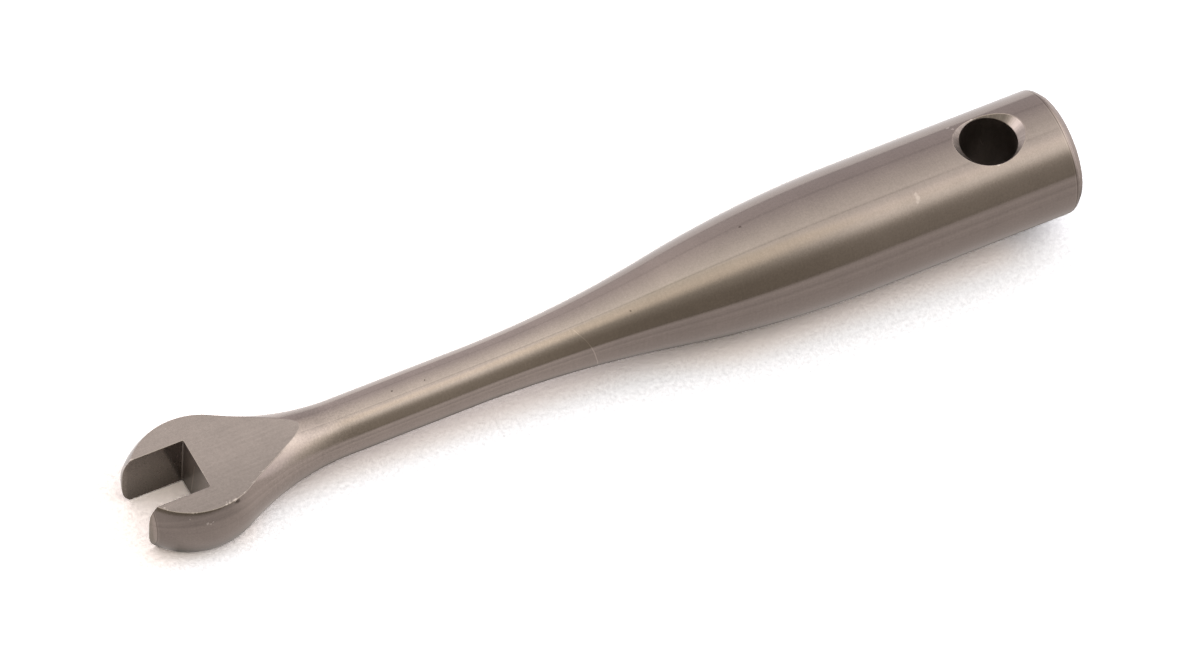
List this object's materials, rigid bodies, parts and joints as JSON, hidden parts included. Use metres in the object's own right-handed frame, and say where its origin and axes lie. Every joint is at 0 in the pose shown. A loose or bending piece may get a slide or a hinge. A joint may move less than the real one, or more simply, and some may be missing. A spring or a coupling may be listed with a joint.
{
  "type": "turnbuckle wrench",
  "caption": "Slim open-end wrench turned from round aluminium bar: flat slotted head, narrow neck, and a thick bottle-shaped handle with a cross hole near its end.",
  "frame": {"origin": "centre of the jaw slot's back wall, on the tool's axis", "axes": "+X runs along the tool's axis from the jaw slot's back wall to the end of the handle, +Z is square to the head's flats, Y runs across the jaws"},
  "size_m": [0.0864, 0.0112, 0.0112],
  "materials": {
    "hard_anodised_aluminium": "satin grey-brown hard-anodised surface, turned along the neck and handle, finely milled on the flats of the head"
  },
  "bodies": {
    "root": {"wrench_body": "hard_anodised_aluminium"}
  },
  "joints": []
}
